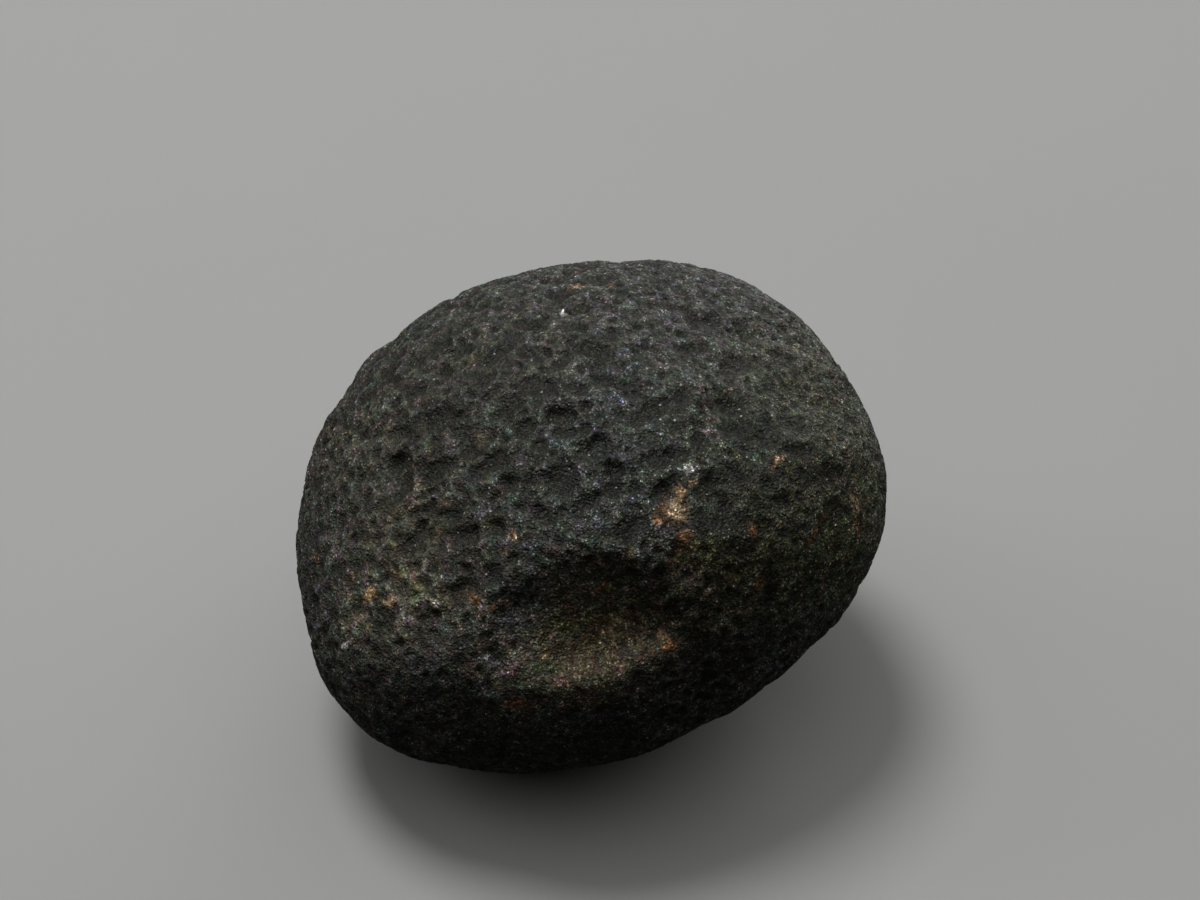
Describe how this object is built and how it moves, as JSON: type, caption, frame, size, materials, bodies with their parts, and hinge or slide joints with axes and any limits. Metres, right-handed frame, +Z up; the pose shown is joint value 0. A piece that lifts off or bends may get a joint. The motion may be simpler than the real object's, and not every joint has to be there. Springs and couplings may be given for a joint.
{
  "type": "saffordite",
  "caption": "Rounded pitted nodule of frosted black natural glass with a thumbprint hollow in its front and a small worn foot.",
  "frame": {"origin": "on the surface it rests on, under the middle of the nodule's box", "axes": "+Z up as it rests, +X towards its raised right end, -Y towards the hollow in its front"},
  "size_m": [0.028, 0.026, 0.0214],
  "materials": {
    "frosted_glass": "matte etched natural skin, opaque"
  },
  "bodies": {
    "root": {"nodule": "frosted_glass"}
  },
  "joints": []
}
